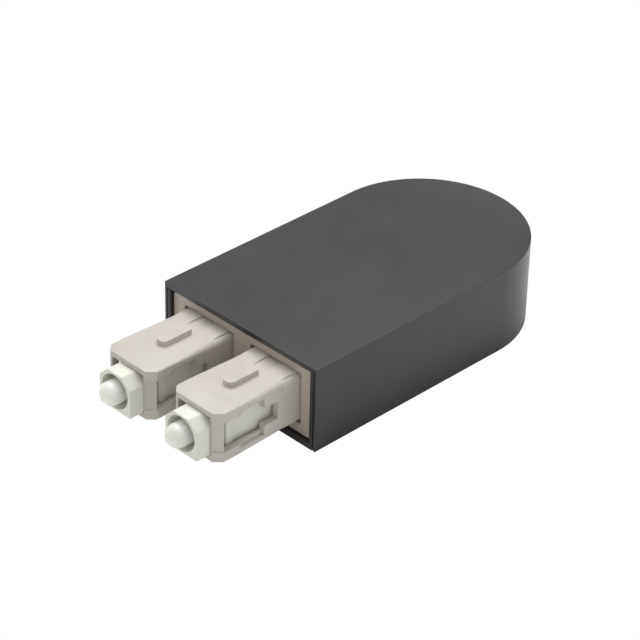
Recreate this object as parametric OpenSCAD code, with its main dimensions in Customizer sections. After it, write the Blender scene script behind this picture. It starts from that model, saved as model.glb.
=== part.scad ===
// Duplex fibre loopback plug: a closed shell that carries two push-in connectors
// joined by one loop of buffered fibre.
// Origin: centre of the round end, on the underside. +Y runs from the mouth to
// the round end, +X to the right seen from the mouth, +Z up.

/* [Shell] */
// Overall width of the shell
shell_w = 28.8; // [28.2:0.1:30]
// Overall height of the shell
shell_h = 12.7; // [12.4:0.1:14]
// Length of the straight sides, from the mouth to the round end
straight_len = 34.9; // [33:0.1:40]
// Thickness of the cover's roof
roof_t = 0.83; // [0.7:0.01:1]
// Thickness of the base's floor
floor_t = 0.83; // [0.7:0.01:1]
// Thickness of the cover's outer skirt
skirt_t = 0.38; // [0.3:0.01:0.5]
// Gap between the skirt and the base's wall
seam = 0.15; // [0.1:0.01:0.2]
// Thickness of the base's wall
wall_t = 0.59; // [0.5:0.01:0.8]
// Outer diameter of the screwless joint bosses
boss_d = 3.6; // [3.2:0.1:4]
// Diameter of the cover's joint pins
pin_d = 2; // [1.6:0.1:2.2]
// Depth to which the pins enter the bosses
pin_len = 3; // [2:0.1:4]

/* [Front plate] */
// Depth of the plate's face behind the mouth
plate_recess = 0.58; // [0.3:0.01:1]
// Thickness of the plate in front of its flange
plate_t = 0.9; // [0.7:0.05:1.5]
// Thickness of the plate's rear flange
plate_flange_t = 0.8; // [0.6:0.05:1.2]
// Depth of the grooves that hold the flange
plate_groove = 0.3; // [0.2:0.05:0.4]
// Gap between the plate and the roof, and between the plate and the floor
plate_gap = 0.24; // [0.15:0.01:0.4]
// Corner radius of the plate
plate_r = 0.8; // [0.4:0.1:1.2]
// Side clearance of the housings in the plate's openings
opening_side = 0.25; // [0.15:0.01:0.35]
// Corner radius of the openings
opening_r = 0.2; // [0.1:0.05:0.4]

/* [Connector housing] */
// Distance between the two connector axes
port_pitch = 12.7; // [12.5:0.05:13]
// Distance the housings stand out of the mouth
port_out = 13.5; // [12.5:0.1:15]
// Width of a housing
housing_w = 9; // [8.8:0.05:9.2]
// Height of a housing
housing_h = 7.4; // [7.3:0.05:7.8]
// Length of a housing
housing_len = 20.5; // [20:0.1:21]
// Front corner chamfer across the housing
nose_cut_x = 1.1; // [0.8:0.05:1.2]
// Front corner chamfer along the housing
nose_cut_y = 1.15; // [0.8:0.05:1.3]
// Height of the lips above and below the corner pillars
lip_h = 1.45; // [1.2:0.05:1.6]
// Setback of the corner pillars behind the lips
pillar_step = 0.17; // [0.1:0.01:0.25]
// Edge radius of the housing at its front
edge_r = 0.25; // [0.15:0.05:0.4]
// Edge radius of the housing at its rear
grip_r = 0.8; // [0.5:0.05:1]
// Half height of the latch window
window_half = 2.2; // [2:0.05:2.3]
// Distance from the front face to the rear of the latch window
window_end = 7.95; // [7.5:0.05:8.5]
// Half height of the narrow rear window
slot_half = 1.35; // [1:0.05:1.6]
// Distance from the front face to the rear of the narrow window
slot_end = 10.3; // [9.5:0.05:11]
// Half height of the latch pockets
pocket_half = 2.8; // [2.6:0.05:2.9]
// Depth of the latch pockets
pocket_t = 0.55; // [0.4:0.05:0.7]
// Distance from the front face to the start of the pocket ramp
pocket_start = 3.6; // [3:0.1:4]
// Length of the pocket ramp
pocket_ramp = 1.15; // [0.8:0.05:1.5]
// Width of the polarity key
key_w = 1.9; // [1.7:0.05:2.1]
// Height of the polarity key
key_h = 0.8; // [0.6:0.05:0.9]
// Distance from the front face to the front of the key
key_start = 5.35; // [5:0.05:6]
// Length of the polarity key
key_len = 4.85; // [4:0.05:5.5]
// Height of the grip pads above the housing
pad_h = 0.2; // [0.15:0.01:0.25]
// Distance from the front face to the start of the grip pads
pad_start = 11.15; // [10.5:0.05:12]
// Length of the ramp onto the grip pads
pad_ramp = 1.05; // [0.8:0.05:1.3]
// Half width of the channel between the grip pads
pad_in = 1.2; // [1:0.05:1.5]
// Height of the housing's retaining flange above the grip pads
flange_h = 0.75; // [0.5:0.05:0.9]
// Thickness of the housing's retaining flange
flange_t = 1.2; // [1:0.05:1.5]

/* [Plug frame] */
// Width of the plug frame's nose
nose_w = 5.85; // [5.75:0.05:5.95]
// Height of the plug frame's nose
nose_h = 5.65; // [5.6:0.05:5.75]
// Chamfer of the nose's two upper corners
nose_cut = 1.5; // [1.2:0.05:1.55]
// Distance the nose stands out of the housing
nose_out = 2.25; // [2:0.05:2.6]
// Diameter of the nose's bore
nose_bore_d = 5; // [4.9:0.05:5.1]
// Depth of the nose's bore behind the housing's front face
nose_bore_end = 4.5; // [4:0.1:5]
// Width across the locking ribs
frame_w = 6.8; // [6.7:0.05:6.85]
// Distance from the front face to the locking ribs
rib_start = 2.3; // [2.2:0.05:2.6]
// Thickness of the locking ribs
rib_t = 1.15; // [0.9:0.05:1.3]
// Depth of the side flats behind the locking ribs
flat_t = 0.3; // [0.2:0.05:0.4]
// Length of the side flats behind the locking ribs
flat_len = 7.4; // [7:0.1:8]
// Distance from the front face to the rear end of the plug frame
frame_end = 16; // [15.5:0.1:16.5]
// Free travel of the plug frame, forwards and backwards
plug_travel = 1; // [0.6:0.1:1]

/* [Ferrule] */
// Diameter of the ferrule
ferrule_d = 2.5; // [2.45:0.01:2.55]
// Length of the ferrule
ferrule_len = 10.5; // [10:0.1:11]
// Distance the ferrule stands out of the nose
ferrule_out = 0.8; // [0.5:0.05:1]
// Diameter of the ferrule's flange
collar_d = 4.6; // [4.4:0.05:4.7]
// Thickness of the ferrule's flange
collar_t = 1.5; // [1.2:0.05:1.8]
// Diameter of the flange's barrel
barrel_d = 3; // [2.9:0.05:3.1]
// Length of the flange's barrel behind the flange
barrel_len = 5.1; // [5:0.05:5.4]
// Wire diameter of the ferrule spring
wire_d = 0.4; // [0.35:0.05:0.45]
// Turns of the ferrule spring
spring_turns = 5; // [4:1:6]
// Travel of the ferrule against its spring
ferrule_travel = 1; // [0.6:0.1:1]

/* [Rear body and boot] */
// Distance from the front face to the front of the rear body
stop_start = 12; // [11.8:0.05:12.2]
// Width of the rear body's stop collar
stop_w = 6.4; // [6.2:0.05:6.6]
// Distance from the front face to the rear of the stop collar
stop_end = 19.5; // [19.3:0.05:19.6]
// Thickness of the stop collar
stop_t = 1.2; // [1:0.05:1.5]
// Diameter of the rear body's barrel
tail_d = 3.6; // [3.4:0.05:3.8]
// Length of the rear body's barrel behind the stop collar
tail_len = 4.5; // [4:0.1:5]
// Diameter of the boot at its front
boot_d = 5.2; // [5:0.05:5.3]
// Diameter of the boot at its rear
boot_end_d = 2.6; // [2.4:0.05:3]
// Length of the boot
boot_len = 11.5; // [10.5:0.1:12.5]

/* [Dust cap] */
// Outer diameter of the dust cap
cap_d = 3.35; // [3.2:0.05:3.5]
// Distance the dust cap stands out of the nose
cap_out = 1.95; // [1.8:0.05:2.4]
// Length of the cap's domed end
dome_len = 1.35; // [1:0.05:1.5]

/* [Fibre] */
// Diameter of the buffered fibre
fibre_d = 0.9; // [0.8:0.05:1]

/* [Hidden] */

LEFT = -1;
RIGHT = 1;
ROUND = 96;
SMALL = 48;
LOFT = 32;
THIN = 0.01;
OVER = 1;

// Clearances
slide_gap = 0.1;
fit_gap = 0.05;
bore_gap = 0.02;
edge_break = 0.15;

// Shell
outer_r = shell_w / 2;
base_in = skirt_t + seam;
inner_in = base_in + wall_t;
inner_half = outer_r - inner_in;
roof_z = shell_h - roof_t;
axis_z = shell_h / 2;
mouth_y = -straight_len;

// Front plate
plate_back = plate_recess + plate_t + plate_flange_t;
groove_front = plate_recess + plate_t - fit_gap;
groove_back = plate_back + fit_gap;
grip_h = housing_h + 2 * pad_h;
opening_w = housing_w + 2 * opening_side;
opening_h = grip_h + 2 * fit_gap;

// Connector stations, measured from the housing's front face
flange_start = port_out + plate_back + fit_gap;
rear_rib_start = housing_len + fit_gap;
cavity_w = frame_w + 2 * slide_gap;
cavity_h = nose_h + 2 * slide_gap;
seat_end = nose_bore_end + 1.4;
ferrule_front = -nose_out - ferrule_out;
collar_back = seat_end + collar_t;
barrel_end = collar_back + barrel_len;
well_d = nose_w - 0.75;
spring_d = collar_d - fit_gap;
tail_bore_d = barrel_d + 2 * slide_gap;
boot_start = stop_end + fit_gap;
boot_end = boot_start + boot_len;
cap_front = -nose_out - cap_out;
cap_back = nose_bore_end - ferrule_travel - fit_gap;

// Retaining ribs, measured from the mouth
rib_wall = 1.2;
saddle_y = flange_start - port_out + flange_t + fit_gap;
rear_rib_y = rear_rib_start - port_out;
split_gap = 0.1;
side_gap = 0.15;

// Bosses: one between the connectors, two inside the fibre loop
boss_points = [
    [0, mouth_y + rear_rib_y + rib_wall + boss_d / 3],
    [-inner_half / 2, -boss_d],
    [inner_half / 2, -boss_d]
];

// Fibre route
loop_r = inner_half - fibre_d / 2 - fit_gap;
fibre_start = 25;
boot_rear_y = mouth_y - port_out + boot_end;
sweep_len = -boot_rear_y - OVER;
sweep_x = loop_r - port_pitch / 2;
sweep_r = (sweep_len ^ 2 + sweep_x ^ 2) / (4 * sweep_x);
sweep_a = 2 * atan(sweep_x / sweep_len);
FIBRE_SIDES = 8;
SWEEP_STEPS = 6;
LOOP_STEPS = 28;

// ---- Helpers ----

// D-shaped block, set in from the outline by inset and open at the front by ahead
module d_block(inset, z0, z1, ahead = 0) {
    r = outer_r - inset;
    translate([-r, mouth_y - ahead, z0])
        cube([2 * r, straight_len + ahead, z1 - z0]);
    translate([0, 0, z0])
        intersection() {
            cylinder(r = r, h = z1 - z0, $fn = ROUND);
            translate([-outer_r, 0, 0])
                cube([2 * outer_r, outer_r, z1 - z0]);
        }
}

// Cross-section in X and Z, extruded along Y from y0
module along_y(y0, len) {
    translate([0, y0 + len, 0])
        rotate([90, 0, 0])
            linear_extrude(len)
                children();
}

// Profile of radius and station, turned about the connector axis
module turned(fn = SMALL) {
    rotate([-90, 0, 0])
        rotate_extrude($fn = fn)
            children();
}

module rod(d, y0, y1, fn = SMALL) {
    translate([0, y0, 0])
        rotate([-90, 0, 0])
            cylinder(d = d, h = y1 - y0, $fn = fn);
}

module rounded_rect(w, h, r) {
    square([w, h - 2 * r], center = true);
    square([w - 2 * r, h], center = true);
    for (sx = [-1, 1], sz = [-1, 1])
        translate([sx * (w / 2 - r), sz * (h / 2 - r)])
            circle(r = r, $fn = LOFT);
}

// Moves a connector from its own axes to its place in the shell
module at_port(side) {
    translate([side * port_pitch / 2, mouth_y - port_out, axis_z])
        children();
}

// ---- Shell ----

module notch_pair(w, h, z) {
    for (side = [LEFT, RIGHT])
        translate([side * port_pitch / 2, z])
            square([w, h], center = true);
}

// Outline of the walls that stop the housings: notched for the housings in
// front, and for the boots behind
module saddle_outline(half, z0, z1) {
    difference() {
        translate([-half, z0])
            square([2 * half, z1 - z0]);
        notch_pair(housing_w + 2 * fit_gap, grip_h + 2 * fit_gap, axis_z);
    }
}

module rear_outline(half, z0, z1) {
    difference() {
        translate([-half, z0])
            square([2 * half, z1 - z0]);
        for (side = [LEFT, RIGHT])
            translate([side * port_pitch / 2, axis_z])
                circle(d = boot_d + 4 * slide_gap, $fn = SMALL);
    }
}

module retaining_ribs(half, z0, z1) {
    along_y(mouth_y + saddle_y, rib_wall)
        saddle_outline(half, z0, z1);
    along_y(mouth_y + rear_rib_y, rib_wall)
        rear_outline(half, z0, z1);
}

module plate_groove() {
    along_y(mouth_y + groove_front, groove_back - groove_front)
        translate([-inner_half - plate_groove, floor_t - plate_groove])
            square([
                2 * (inner_half + plate_groove),
                roof_z - floor_t + 2 * plate_groove
            ]);
}

module base_shell() {
    color("#1c1c1d") {
        difference() {
            union() {
                d_block(base_in, 0, floor_t);
                difference() {
                    d_block(base_in, 0, roof_z - fit_gap);
                    d_block(inner_in, floor_t, shell_h, OVER);
                }
            }
            plate_groove();
        }
        retaining_ribs(inner_half + THIN, floor_t - THIN, axis_z - split_gap / 2);
        for (p = boss_points)
            translate([p[0], p[1], floor_t - THIN])
                difference() {
                    cylinder(d = boss_d, h = axis_z - split_gap / 2 - floor_t, $fn = SMALL);
                    translate([0, 0, axis_z - floor_t - pin_len - split_gap])
                        cylinder(d = pin_d + 2 * bore_gap, h = shell_h, $fn = SMALL);
                }
    }
}

module cover() {
    color("#1c1c1d") {
        difference() {
            d_block(0, 0, shell_h);
            d_block(skirt_t, -OVER, roof_z, OVER);
            plate_groove();
        }
        retaining_ribs(inner_half - side_gap, axis_z + split_gap / 2, roof_z + THIN);
        for (p = boss_points)
            translate([p[0], p[1], 0]) {
                translate([0, 0, axis_z + split_gap / 2])
                    cylinder(d = boss_d, h = roof_z - axis_z, $fn = SMALL);
                translate([0, 0, axis_z - pin_len])
                    cylinder(d = pin_d, h = pin_len + OVER, $fn = SMALL);
            }
    }
}

module front_plate() {
    color("#c6bbae")
        difference() {
            union() {
                along_y(mouth_y + plate_recess, plate_t + plate_flange_t)
                    translate([0, axis_z])
                        rounded_rect(
                            2 * (inner_half - fit_gap),
                            roof_z - floor_t - 2 * plate_gap,
                            plate_r
                        );
                along_y(mouth_y + plate_recess + plate_t, plate_flange_t)
                    translate([0, (roof_z + floor_t) / 2])
                        square([
                            2 * (inner_half + plate_groove - fit_gap),
                            roof_z - floor_t + 2 * (plate_groove - fit_gap)
                        ], center = true);
            }
            along_y(mouth_y, plate_back + OVER)
                for (side = [LEFT, RIGHT])
                    translate([side * port_pitch / 2, axis_z])
                        rounded_rect(opening_w, opening_h, opening_r);
        }
}

// ---- Connector ----

// Outside of the housing, with edges that grow rounder towards the grip
module housing_body() {
    blend_start = pocket_start;
    blend_end = pad_start;
    along_y(0, blend_start)
        rounded_rect(housing_w, housing_h, edge_r);
    hull() {
        along_y(blend_start, THIN)
            rounded_rect(housing_w, housing_h, edge_r);
        along_y(blend_end - THIN, THIN)
            rounded_rect(housing_w, housing_h, grip_r);
    }
    along_y(blend_end, housing_len - blend_end)
        rounded_rect(housing_w, housing_h, grip_r);
}

// Raised pads of the grip, with a ramp at the front, on top and underneath
module grip_pads() {
    pad_out = housing_w / 2 - grip_r + edge_break;
    for (side = [-1, 1], face = [-1, 1])
        translate([side * (pad_in + pad_out) / 2, 0, 0])
            rotate([90, 0, 90])
                translate([0, 0, -(pad_out - pad_in) / 2])
                    linear_extrude(pad_out - pad_in)
                        polygon([
                            [pad_start, face * (housing_h / 2 - THIN)],
                            [pad_start + pad_ramp, face * grip_h / 2],
                            [housing_len, face * grip_h / 2],
                            [housing_len, face * (housing_h / 2 - THIN)]
                        ]);
}

// Polarity key: a straight bar with a rounded front end
module polarity_key() {
    end_r = key_w / 2 - 0.1;
    translate([0, 0, housing_h / 2 - THIN])
        linear_extrude(key_h + THIN) {
            translate([-key_w / 2, key_start + end_r])
                square([key_w, key_len - end_r]);
            translate([-0.1, key_start])
                square([0.2, end_r + THIN]);
            for (side = [-1, 1])
                translate([side * 0.1, key_start + end_r])
                    circle(r = end_r, $fn = SMALL);
        }
}

module corner_cuts() {
    for (side = [-1, 1]) {
        // Full-height chamfer
        translate([0, 0, -housing_h])
            linear_extrude(2 * housing_h)
                polygon([
                    [side * (housing_w / 2 - nose_cut_x), 0],
                    [side * (housing_w / 2 - nose_cut_x), -OVER],
                    [side * (housing_w / 2 + OVER), -OVER],
                    [side * (housing_w / 2 + OVER), nose_cut_y],
                    [side * housing_w / 2, nose_cut_y]
                ]);
        // Pillar face, set back between the two lips
        translate([0, 0, -housing_h / 2 + lip_h])
            linear_extrude(housing_h - 2 * lip_h)
                polygon([
                    [side * (housing_w / 2 - nose_cut_x), pillar_step],
                    [side * (housing_w / 2 - nose_cut_x), -OVER],
                    [side * (housing_w / 2 + OVER), -OVER],
                    [side * (housing_w / 2 + OVER), nose_cut_y + pillar_step],
                    [side * (housing_w / 2 - pillar_step), nose_cut_y + pillar_step],
                    [side * (housing_w / 2 - pillar_step), nose_cut_y]
                ]);
    }
}

module side_windows() {
    half_w = housing_w / 2;
    translate([-housing_w, nose_cut_y, -window_half])
        cube([2 * housing_w, window_end - nose_cut_y, 2 * window_half]);
    translate([-housing_w, window_end - THIN, -slot_half])
        cube([2 * housing_w, slot_end - window_end + THIN, 2 * slot_half]);
    // Latch pockets in the outer faces, ramped at the front
    for (side = [-1, 1])
        translate([0, 0, -pocket_half])
            linear_extrude(2 * pocket_half)
                polygon([
                    [side * (half_w + THIN), pocket_start],
                    [side * (half_w - pocket_t), pocket_start + pocket_ramp],
                    [side * (half_w - pocket_t), window_end],
                    [side * (half_w + OVER), window_end],
                    [side * (half_w + OVER), pocket_start]
                ]);
}

module housing_cavity() {
    along_y(nose_cut_y, housing_len)
        square([cavity_w, cavity_h], center = true);
    along_y(-OVER, housing_len)
        square([nose_w + 2 * slide_gap, cavity_h], center = true);
}

module outer_housing(side) {
    color("#cfc8bd")
        at_port(side)
            difference() {
                union() {
                    housing_body();
                    grip_pads();
                    polarity_key();
                    along_y(flange_start, flange_t)
                        rounded_rect(
                            housing_w + 2 * flange_h,
                            grip_h + 2 * flange_h,
                            grip_r
                        );
                }
                corner_cuts();
                side_windows();
                housing_cavity();
            }
}

// Cross-section of the nose: square below, chamfered above
module nose_outline(w) {
    polygon([
        [-w / 2, -nose_h / 2],
        [w / 2, -nose_h / 2],
        [w / 2, nose_h / 2 - nose_cut],
        [w / 2 - nose_cut, nose_h / 2],
        [-w / 2 + nose_cut, nose_h / 2],
        [-w / 2, nose_h / 2 - nose_cut]
    ]);
}

// Plan of one side of the plug frame behind the nose: locking rib, flat and
// guide
module frame_plan() {
    flat_end = rib_start + rib_t + flat_len;
    polygon([
        [0, rib_start - THIN],
        [frame_w / 2 - edge_break, rib_start - THIN],
        [frame_w / 2, rib_start + edge_break],
        [frame_w / 2, rib_start + rib_t],
        [frame_w / 2 - flat_t, rib_start + rib_t],
        [frame_w / 2 - flat_t, flat_end],
        [frame_w / 2, flat_end + flat_t],
        [frame_w / 2, frame_end],
        [0, frame_end]
    ]);
}

module plug_frame(side) {
    color("#e3e3dc")
        at_port(side)
            difference() {
                union() {
                    along_y(-nose_out, nose_out + rib_start + THIN)
                        nose_outline(nose_w);
                    intersection() {
                        translate([0, 0, -nose_h / 2])
                            linear_extrude(nose_h)
                                union() {
                                    frame_plan();
                                    mirror([1, 0]) frame_plan();
                                }
                        along_y(0, frame_end)
                            nose_outline(frame_w);
                    }
                }
                rod(nose_bore_d, -nose_out - OVER, nose_bore_end);
                rod(ferrule_d + 2 * slide_gap, 0, frame_end);
                rod(well_d, seat_end, frame_end + OVER);
            }
}

module ferrule(side) {
    chamfer = 0.3;
    y0 = ferrule_front;
    y1 = ferrule_front + ferrule_len;
    bore = 0.13;
    color("#e9e9e4")
        at_port(side)
            turned()
                polygon([
                    [bore, y0],
                    [ferrule_d / 2 - chamfer, y0],
                    [ferrule_d / 2, y0 + chamfer],
                    [ferrule_d / 2, y1],
                    [bore, y1]
                ]);
}

module ferrule_flange(side) {
    color("#9fa2a4")
        at_port(side)
            difference() {
                union() {
                    rod(collar_d, seat_end, collar_back);
                    rod(barrel_d, seat_end, barrel_end);
                }
                rod(ferrule_d, seat_end - OVER, ferrule_front + ferrule_len);
                rod(fibre_d + 4 * slide_gap, seat_end, barrel_end + OVER);
            }
}

function ring_points(centre, radius, sides, u, v) =
    [for (k = [0:sides - 1])
        centre + radius * (cos(360 * k / sides) * u + sin(360 * k / sides) * v)];

function tube_faces(rings, sides) = concat(
    [[for (k = [0:sides - 1]) k]],
    [for (i = [0:rings - 2], k = [0:sides - 1])
        [
            i * sides + k,
            (i + 1) * sides + k,
            (i + 1) * sides + (k + 1) % sides,
            i * sides + (k + 1) % sides
        ]],
    [[for (k = [sides - 1:-1:0]) (rings - 1) * sides + k]]
);

module ferrule_spring(side) {
    steps = 14;
    sides = 6;
    rings = steps * spring_turns + 1;
    coil_r = (spring_d - wire_d) / 2;
    y0 = collar_back + wire_d / 2 + bore_gap;
    y1 = stop_start - wire_d / 2 - bore_gap;
    points = [for (i = [0:rings - 1])
        let (a = 360 * i / steps, y = y0 + (y1 - y0) * i / (rings - 1))
            for (p = ring_points(
                [coil_r * cos(a), y, coil_r * sin(a)],
                wire_d / 2,
                sides,
                [cos(a), 0, sin(a)],
                [0, 1, 0]
            )) p];
    color("#8d9194")
        at_port(side)
            polyhedron(points, tube_faces(rings, sides));
}

module rear_body(side) {
    body_d = well_d - 2 * fit_gap;
    tail_end = stop_end + tail_len;
    color("#b9bcbd")
        at_port(side)
            difference() {
                union() {
                    rod(body_d, stop_start, frame_end + OVER);
                    rod(nose_h - 2 * fit_gap, frame_end + bore_gap, stop_end);
                    along_y(stop_end - stop_t, stop_t)
                        rounded_rect(stop_w, nose_h - 2 * fit_gap, grip_r);
                    rod(tail_d, stop_end - OVER, tail_end);
                }
                rod(tail_bore_d, stop_start - OVER, stop_end - stop_t);
                rod(fibre_d + 4 * slide_gap, stop_start, tail_end + OVER);
            }
}

module boot(side) {
    tail_end = stop_end + tail_len + fit_gap;
    color("#1f1f20")
        at_port(side)
            difference() {
                turned()
                    polygon([
                        [0, boot_start],
                        [boot_d / 2, boot_start],
                        [boot_d / 2, tail_end],
                        [boot_end_d / 2, boot_end],
                        [0, boot_end]
                    ]);
                rod(tail_d + 2 * bore_gap, boot_start - OVER, tail_end);
                rod(fibre_d + 4 * slide_gap, boot_start, boot_end + OVER);
            }
}

module dust_cap(side) {
    dome_base = cap_front + dome_len;
    color("#dfe2de")
        at_port(side)
            difference() {
                union() {
                    rod(cap_d, dome_base, cap_back);
                    translate([0, dome_base, 0])
                        turned()
                            dome_profile();
                }
                rod(ferrule_d + 2 * bore_gap, ferrule_front - bore_gap, cap_back + OVER);
            }
}

// Half outline of the domed end: a flat tip blended by an arc into the side
module dome_profile() {
    tip_r = cap_d / 2 - dome_len;
    translate([0, -dome_len])
        square([tip_r, dome_len + THIN]);
    intersection() {
        translate([tip_r, 0])
            circle(r = dome_len, $fn = SMALL);
        translate([0, -dome_len])
            square([cap_d / 2, dome_len + THIN]);
    }
}

// Half of the fibre's route in plan, from the right boot to the top of the loop
function route_half() = concat(
    [
        [port_pitch / 2, mouth_y - port_out + fibre_start, 0],
        [port_pitch / 2, -sweep_len, 0]
    ],
    [for (i = [1:SWEEP_STEPS])
        let (a = sweep_a * i / SWEEP_STEPS)
            [port_pitch / 2 + sweep_r * (1 - cos(a)), -sweep_len + sweep_r * sin(a), a]],
    [for (i = [1:SWEEP_STEPS])
        let (a = sweep_a * (1 - i / SWEEP_STEPS))
            [loop_r - sweep_r * (1 - cos(a)), -sweep_r * sin(a), a]],
    [for (i = [1:LOOP_STEPS / 2])
        let (a = 180 * i / LOOP_STEPS)
            [loop_r * cos(a), loop_r * sin(a), -a]]
);

module fibre_loop() {
    half = route_half();
    last = len(half) - 1;
    route = concat(
        half,
        [for (i = [last - 1:-1:0]) [-half[i][0], half[i][1], -half[i][2] + 180]]
    );
    points = [for (p = route)
        for (q = ring_points(
            [p[0], p[1], axis_z],
            fibre_d / 2,
            FIBRE_SIDES,
            [cos(p[2]), -sin(p[2]), 0],
            [0, 0, 1]
        )) q];
    color("#d9b23a")
        polyhedron(points, tube_faces(len(route), FIBRE_SIDES));
}

base_shell();
cover();
front_plate();
outer_housing(LEFT);  // outer_housing_left
outer_housing(RIGHT);  // outer_housing_right
plug_frame(LEFT);  // plug_frame_left
plug_frame(RIGHT);  // plug_frame_right
ferrule(LEFT);  // ferrule_left
ferrule(RIGHT);  // ferrule_right
ferrule_flange(LEFT);  // ferrule_flange_left
ferrule_flange(RIGHT);  // ferrule_flange_right
ferrule_spring(LEFT);  // ferrule_spring_left
ferrule_spring(RIGHT);  // ferrule_spring_right
rear_body(LEFT);  // rear_body_left
rear_body(RIGHT);  // rear_body_right
boot(LEFT);  // boot_left
boot(RIGHT);  // boot_right
dust_cap(LEFT);  // dust_cap_left
dust_cap(RIGHT);  // dust_cap_right
fibre_loop();
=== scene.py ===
"""Looks of a duplex fibre loopback plug: a black two-part shell, a beige front
plate, two push-in connectors with white plug frames and milky dust caps."""

import math

import bpy
from mathutils import Matrix, Vector


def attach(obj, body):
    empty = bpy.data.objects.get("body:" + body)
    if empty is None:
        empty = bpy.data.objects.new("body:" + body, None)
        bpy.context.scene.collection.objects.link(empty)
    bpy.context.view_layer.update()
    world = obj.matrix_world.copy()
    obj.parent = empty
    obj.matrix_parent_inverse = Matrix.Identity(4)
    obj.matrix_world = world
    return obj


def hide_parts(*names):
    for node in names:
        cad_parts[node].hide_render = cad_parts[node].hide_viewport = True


MM = 0.001
SIDES = ("left", "right")
WHITE = (1, 1, 1, 1)

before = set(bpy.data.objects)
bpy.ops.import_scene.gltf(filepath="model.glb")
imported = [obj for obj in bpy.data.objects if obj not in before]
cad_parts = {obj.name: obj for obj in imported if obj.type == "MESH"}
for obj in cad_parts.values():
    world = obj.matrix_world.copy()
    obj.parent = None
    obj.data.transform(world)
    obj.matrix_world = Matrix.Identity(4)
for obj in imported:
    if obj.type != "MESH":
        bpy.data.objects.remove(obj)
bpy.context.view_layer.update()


# ---- Camera ----

AZIMUTH = 44.9530           # degrees, round from -Y towards +X
ELEVATION = 32.8914
ROLL = 1.3966
FOCAL_LENGTH = 150.42       # mm, for a sensor of SENSOR_WIDTH mm
SENSOR_WIDTH = 36
NEAREST, FARTHEST = 0.01, 10
CAMERA_AT = Vector((211.76, -232.19, 200.77)) * MM


def make_camera():
    azimuth, elevation, roll = (math.radians(v) for v in (AZIMUTH, ELEVATION, ROLL))
    outwards = Vector((math.sin(azimuth), -math.cos(azimuth), 0))
    back = outwards * math.cos(elevation) + Vector((0, 0, math.sin(elevation)))
    right = (-back).cross(Vector((0, 0, 1))).normalized()
    up = right.cross(-back)
    turned_right = right * math.cos(roll) + up * math.sin(roll)
    turned_up = up * math.cos(roll) - right * math.sin(roll)
    data = bpy.data.cameras.new("camera")
    data.lens = FOCAL_LENGTH
    data.sensor_width = SENSOR_WIDTH
    data.clip_start = NEAREST
    data.clip_end = FARTHEST
    camera = bpy.data.objects.new("camera", data)
    bpy.context.scene.collection.objects.link(camera)
    camera.matrix_world = Matrix((
        (turned_right.x, turned_up.x, back.x, CAMERA_AT.x),
        (turned_right.y, turned_up.y, back.y, CAMERA_AT.y),
        (turned_right.z, turned_up.z, back.z, CAMERA_AT.z),
        (0, 0, 0, 1),
    ))
    bpy.context.scene.camera = camera


# ---- Shader helpers ----

GRAIN_DEPTH = 0.004 * MM
MIX_FACTOR, MIX_A, MIX_B, MIX_RESULT = 0, 6, 7, 2       # a colour mix's sockets


class Value:
    """One output socket; a sum or product with it adds a Math node."""

    def __init__(self, nodes, socket):
        self.nodes, self.socket = nodes, socket

    def _math(self, operation, other):
        return self.nodes.add("ShaderNodeMath", {"operation": operation}, {0: self, 1: other})

    def __add__(self, other):
        return self._math("ADD", other)

    __radd__ = __add__

    def __mul__(self, other):
        return self._math("MULTIPLY", other)

    __rmul__ = __mul__

    def __getitem__(self, name):
        return Value(self.nodes, self.socket.node.outputs[name])


class Nodes:
    """The node tree of one material, around its main shader."""

    def __init__(self, name):
        self.material = bpy.data.materials.new(name)
        self.material.use_nodes = True
        self.tree = self.material.node_tree
        self.shader = self.tree.nodes["Principled BSDF"]

    def add(self, kind, settings=None, inputs=None):
        """Add a node and return its first output in use."""
        node = self.tree.nodes.new(kind)
        for key, value in (settings or {}).items():
            setattr(node, key, value)
        for key, value in (inputs or {}).items():
            self.put(node.inputs[key], value)
        return Value(self, next(s for s in node.outputs if s.enabled))

    def put(self, socket, value):
        if isinstance(value, Value):
            self.tree.links.new(value.socket, socket)
        else:
            socket.default_value = value

    def set(self, **values):
        """Set the main shader's inputs; an underscore stands for a space."""
        for key, value in values.items():
            self.put(self.shader.inputs[key.replace("_", " ")], value)

    def noise(self, scale, detail=2, stretch=None):
        place = self.add("ShaderNodeTexCoord")["Object"]
        if stretch:
            place = self.add("ShaderNodeMapping", {}, {"Vector": place, "Scale": stretch})
        return self.add(
            "ShaderNodeTexNoise", {}, {"Vector": place, "Scale": scale, "Detail": detail}
        )["Fac"]

    def tone(self, noise, start, end, colour, other):
        """One colour that turns into another as the noise goes from start to end."""
        factor = self.add(
            "ShaderNodeMapRange", {"interpolation_type": "SMOOTHSTEP"},
            {"Value": noise, "From Min": start, "From Max": end},
        )
        return self.add(
            "ShaderNodeMix", {"data_type": "RGBA"},
            {MIX_FACTOR: factor, MIX_A: colour, MIX_B: other},
        )[MIX_RESULT]

    def grain(self, scale, strength):
        """Fine mould grain, as a normal."""
        return self.add(
            "ShaderNodeBump", {},
            {"Height": self.noise(scale), "Distance": GRAIN_DEPTH, "Strength": strength},
        )


def srgb(r, g, b):
    """A colour given in 8-bit steps, as linear values with full alpha."""
    def linear(v):
        v /= 255
        return v / 12.92 if v <= 0.04045 else ((v + 0.055) / 1.055) ** 2.4
    return (linear(r), linear(g), linear(b), 1)


# ---- Materials ----

PLASTIC_IOR = 1.49
SHELL_IOR = CAP_IOR = 1.5

# Noise scales, in waves to the metre: colour, roughness and grain.
SHELL_CLOUD, SHELL_SHEEN, SHELL_GRAIN = 60, 250, 9000
MOULDED_CLOUD, MOULDED_SHEEN, MOULDED_GRAIN = 180, 400, 7000
CAP_CLOUD, CAP_SHEEN = 300, 500
METAL_SHEEN = 900
DRAWN_ALONG = (1, 0.1, 1)   # the noise is drawn out along the ferrule's axis

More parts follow.
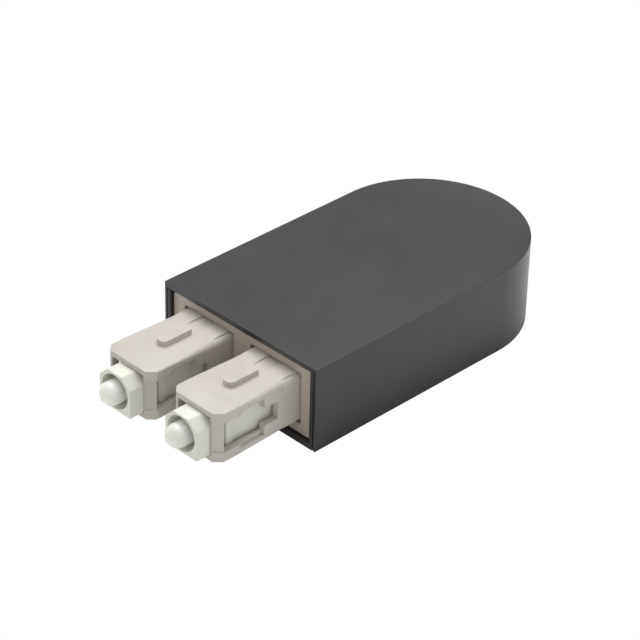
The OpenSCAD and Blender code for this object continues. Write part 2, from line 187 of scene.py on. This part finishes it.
# How far the noise moves the roughness.
SHELL_SPREAD = 0.1
MOULDED_SPREAD = 0.12
CAP_SPREAD = 0.08
METAL_SPREAD = 0.12


def satin_black():
    m = Nodes("satin_black_shell")
    m.set(
        Base_Color=m.tone(
            m.noise(SHELL_CLOUD, 3), start=0.35, end=0.7,
            colour=srgb(45, 45, 45), other=srgb(51, 51, 51),
        ),
        Roughness=m.noise(SHELL_SHEEN, 3) * SHELL_SPREAD + 0.28,
        IOR=SHELL_IOR,
        Normal=m.grain(SHELL_GRAIN, 0.35),
    )
    return m.material


def moulded(name, light, dark, roughness, grain=0.3):
    m = Nodes(name)
    m.set(
        Base_Color=m.tone(m.noise(MOULDED_CLOUD, 3), start=0.3, end=0.75, colour=light, other=dark),
        Roughness=m.noise(MOULDED_SHEEN, 3) * MOULDED_SPREAD + (roughness - MOULDED_SPREAD / 2),
        IOR=PLASTIC_IOR,
        Normal=m.grain(MOULDED_GRAIN, grain),
    )
    return m.material


def metal(name, colour, roughness):
    m = Nodes(name)
    m.set(
        Base_Color=colour,
        Metallic=1.0,
        Roughness=m.noise(METAL_SHEEN, stretch=DRAWN_ALONG) * METAL_SPREAD + roughness,
    )
    return m.material


def milky_cap():
    m = Nodes("milky_cap")
    m.set(
        Base_Color=m.tone(
            m.noise(CAP_CLOUD), start=0.3, end=0.8,
            colour=srgb(236, 235, 228), other=srgb(226, 226, 216),
        ),
        Roughness=m.noise(CAP_SHEEN) * CAP_SPREAD + 0.16,
        Subsurface_Weight=0.6,
        Subsurface_Radius=(1.0, 0.95, 0.8),
        Subsurface_Scale=1.2 * MM,
        IOR=CAP_IOR,
    )
    return m.material


def both(name):
    return [f"{name}_{side}" for side in SIDES]


def give(material, *names):
    for name in names:
        slots = bpy.data.objects[name].data.materials
        slots.clear()
        slots.append(material)


def finish_solids():
    plate = moulded("plate_beige", srgb(190, 179, 166), srgb(182, 171, 158), 0.5)
    housing = moulded("housing_beige", srgb(197, 191, 183), srgb(190, 184, 176), 0.42)
    white = moulded("frame_white", srgb(228, 228, 217), srgb(220, 220, 207), 0.34)
    zirconia = moulded(
        "ferrule_zirconia", srgb(236, 236, 230), srgb(230, 230, 224), 0.2, grain=0.05
    )
    nickel = metal("nickel_barrel", srgb(190, 190, 188), 0.25)
    steel = metal("spring_wire", srgb(165, 166, 168), 0.22)
    rubber = moulded("boot_rubber", srgb(34, 34, 35), srgb(28, 28, 29), 0.6)
    buffer = moulded("fibre_buffer", srgb(214, 178, 60), srgb(204, 166, 48), 0.45)

    give(satin_black(), "base_shell", "cover")
    give(plate, "front_plate")
    give(housing, *both("outer_housing"))
    give(white, *both("plug_frame"))
    give(milky_cap(), *both("dust_cap"))
    give(zirconia, *both("ferrule"))
    give(nickel, *both("ferrule_flange"), *both("rear_body"))
    give(steel, *both("ferrule_spring"))
    give(rubber, *both("boot"))
    give(buffer, "fibre_loop")


# ---- Moulded pieces: the solids with their edges broken ----

HOUSING_EDGE = 0.1 * MM
FRAME_EDGE = 0.08 * MM
COVER_EDGE = 0.08 * MM
BASE_EDGE = 0.05 * MM
PLATE_EDGE = 0.06 * MM

SHARP = math.radians(25)        # an edge that turns more than this is rounded
FLAT = math.radians(0.5)        # faces that turn less than this become one
SAME_POINT = 0.002 * MM
EDGE_SEGMENTS = 2


def softened(node, name, radius, body):
    """A merged copy of a solid whose sharp edges are rounded to a radius."""
    source = bpy.data.objects[node]
    bpy.ops.object.select_all(action="DESELECT")
    piece = source.copy()
    piece.data = source.data.copy()
    piece.name = piece.data.name = name
    piece.parent = None
    piece.matrix_world = Matrix()
    bpy.context.scene.collection.objects.link(piece)
    piece.hide_render = piece.hide_viewport = False
    bpy.context.view_layer.objects.active = piece
    piece.select_set(True)
    bpy.ops.object.mode_set(mode="EDIT")
    bpy.ops.mesh.select_all(action="SELECT")
    bpy.ops.mesh.remove_doubles(threshold=SAME_POINT)
    bpy.ops.mesh.dissolve_limited(angle_limit=FLAT)
    bpy.ops.object.mode_set(mode="OBJECT")
    bevel = piece.modifiers.new("edges", "BEVEL")
    bevel.width = radius
    bevel.segments = EDGE_SEGMENTS
    bevel.limit_method = "ANGLE"
    bevel.angle_limit = SHARP
    bevel.use_clamp_overlap = True
    bpy.ops.object.modifier_apply(modifier=bevel.name)
    bpy.ops.object.shade_smooth_by_angle(angle=SHARP)
    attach(piece, body)
    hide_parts(node)


def make_mouldings():
    for side in SIDES:
        softened(
            f"outer_housing_{side}", f"housing_moulding_{side}", HOUSING_EDGE,
            "shell",
        )
        softened(
            f"plug_frame_{side}", f"frame_moulding_{side}", FRAME_EDGE,
            f"plug_{side}",
        )
    softened("cover", "cover_moulding", COVER_EDGE, "shell")
    softened("base_shell", "base_moulding", BASE_EDGE, "shell")
    softened("front_plate", "plate_moulding", PLATE_EDGE, "shell")


# ---- Setting ----

FLOOR_SIZE = 4
FLOOR_DROP = 0.1 * MM           # keeps the floor off the shell's underside
FLOOR_GREY = (0.86, 0.86, 0.86, 1)
FLOOR_ROUGHNESS = 0.9
WORLD_STRENGTH = 0.55

LAMP_AT = Vector((-0.14, 0.1, 0.62))
LAMP_AIM = Vector((0, -0.02, 0))
LAMP_SIZE = 0.6
LAMP_POWER = 4.0


def make_floor():
    """A floor that bounces light as grey but is seen as plain white."""
    bpy.ops.object.select_all(action="DESELECT")
    bpy.ops.mesh.primitive_plane_add(size=FLOOR_SIZE, location=(0, 0, -FLOOR_DROP))
    floor = bpy.context.object
    floor.name = "floor"
    m = Nodes("floor_white")
    m.set(Base_Color=FLOOR_GREY, Roughness=FLOOR_ROUGHNESS)
    path = m.add("ShaderNodeLightPath")
    glow = m.add("ShaderNodeEmission", {}, {"Color": WHITE, "Strength": 1.0})
    seen = m.add(
        "ShaderNodeMath", {"operation": "MAXIMUM"},
        {0: path["Is Camera Ray"], 1: path["Is Transmission Ray"]},
    )
    lit = Value(m, m.shader.outputs[0])
    surface = m.add("ShaderNodeMixShader", {}, {0: seen, 1: lit, 2: glow})
    m.put(m.tree.nodes["Material Output"].inputs["Surface"], surface)
    floor.data.materials.append(m.material)


def make_world():
    world = bpy.data.worlds.new("studio")
    world.use_nodes = True
    background = world.node_tree.nodes["Background"]
    background.inputs["Color"].default_value = WHITE
    background.inputs["Strength"].default_value = WORLD_STRENGTH
    bpy.context.scene.world = world


def make_lamp():
    data = bpy.data.lights.new("top_softbox", "AREA")
    data.shape = "RECTANGLE"
    data.size = data.size_y = LAMP_SIZE
    data.energy = LAMP_POWER
    lamp = bpy.data.objects.new("top_softbox", data)
    lamp.location = LAMP_AT
    lamp.rotation_euler = (LAMP_AIM - LAMP_AT).to_track_quat("-Z", "Y").to_euler()
    bpy.context.scene.collection.objects.link(lamp)


make_camera()
finish_solids()
make_mouldings()
make_floor()
make_world()
make_lamp()

scene = bpy.context.scene
scene.view_settings.view_transform = "Standard"
